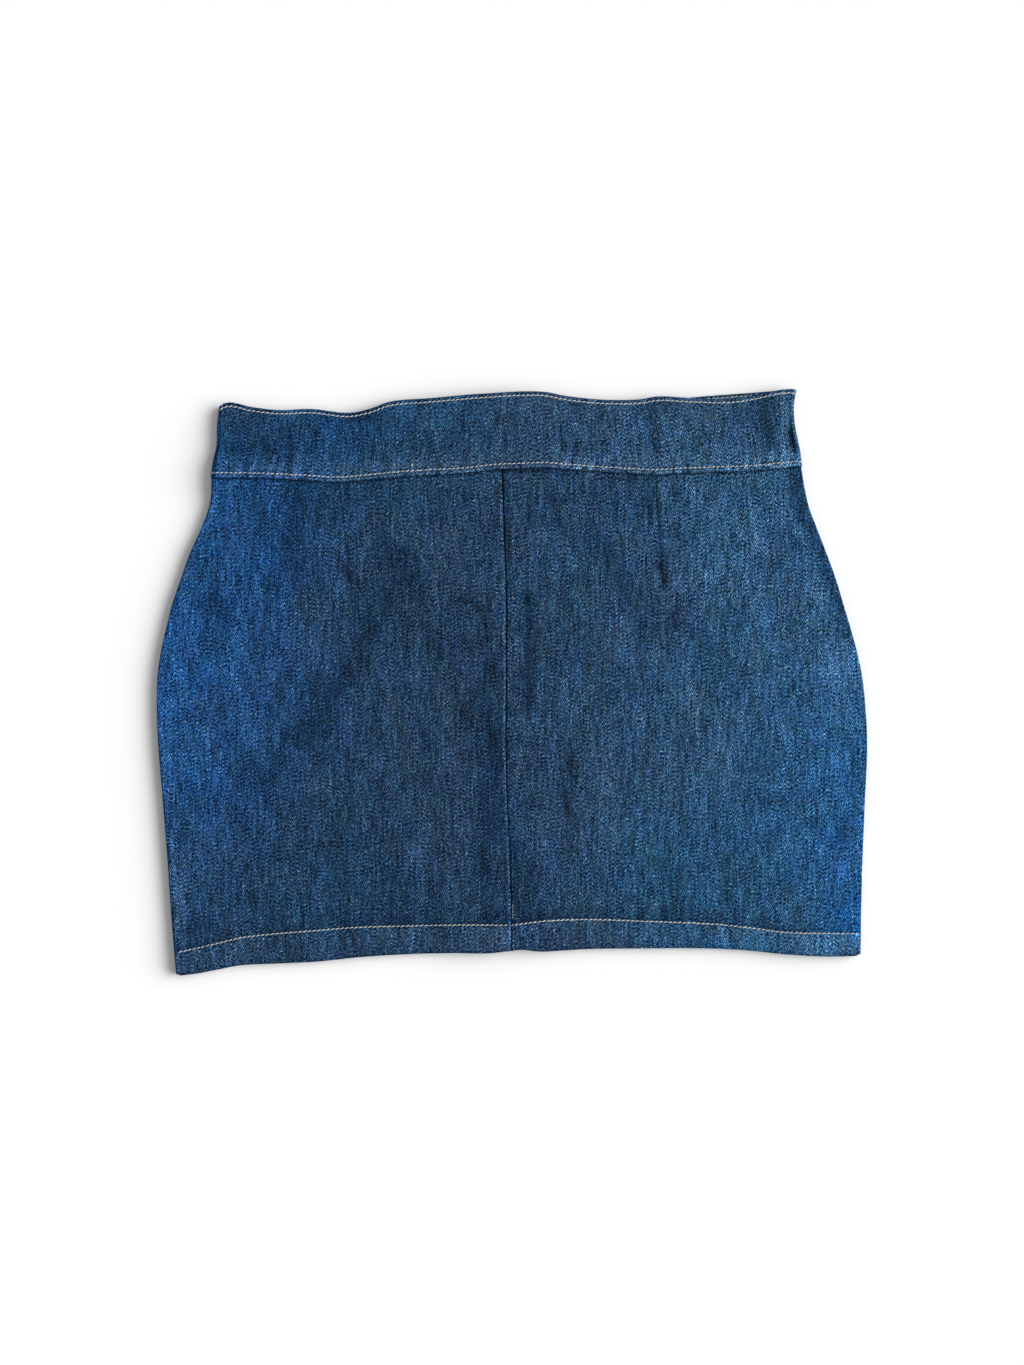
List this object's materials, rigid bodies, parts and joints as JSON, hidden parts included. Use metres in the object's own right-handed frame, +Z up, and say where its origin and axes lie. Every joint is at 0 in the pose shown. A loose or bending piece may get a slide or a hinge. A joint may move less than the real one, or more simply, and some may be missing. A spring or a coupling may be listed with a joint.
{
  "type": "denim skirt",
  "caption": "Short denim skirt laid flat, darted panels joined by a centre seam, folded waistband, stitched hem and a concealed zip.",
  "frame": {"origin": "centre of the laid-out skirt's bounding box, on the surface that it lies on", "axes": "+X across the skirt, to the right of its front as seen from above; +Y from hem to waist; +Z up, out of the front"},
  "size_m": [0.4546, 0.3754, 0.0096],
  "materials": {
    "denim": "dark indigo twill with pale weft flecks, matt",
    "denim_inside": "pale inner face of the twill, matt",
    "thread": "ecru topstitching thread, slight sheen",
    "zip_tape": "dark blue woven tape with a moulded coil",
    "zip_metal": "dull nickel"
  },
  "bodies": {
    "skirt": {"front_panel_left": "denim", "front_panel_right": "denim", "back_panel_left": "denim", "back_panel_right": "denim", "waistband": "denim", "dart_left": "denim_inside", "dart_right": "denim_inside", "zip_tape_left": "zip_tape", "zip_tape_right": "zip_tape", "zip_slider": "zip_metal"},
    "pull": {"zip_pull": "zip_metal"}
  },
  "joints": [
    {"name": "pull_swing", "type": "hinge", "parent": "skirt", "child": "pull", "pos_m": [-0.003, 0.17686, 0.00135], "axis": [1, 0, 0], "range_deg": [0, 170]}
  ]
}
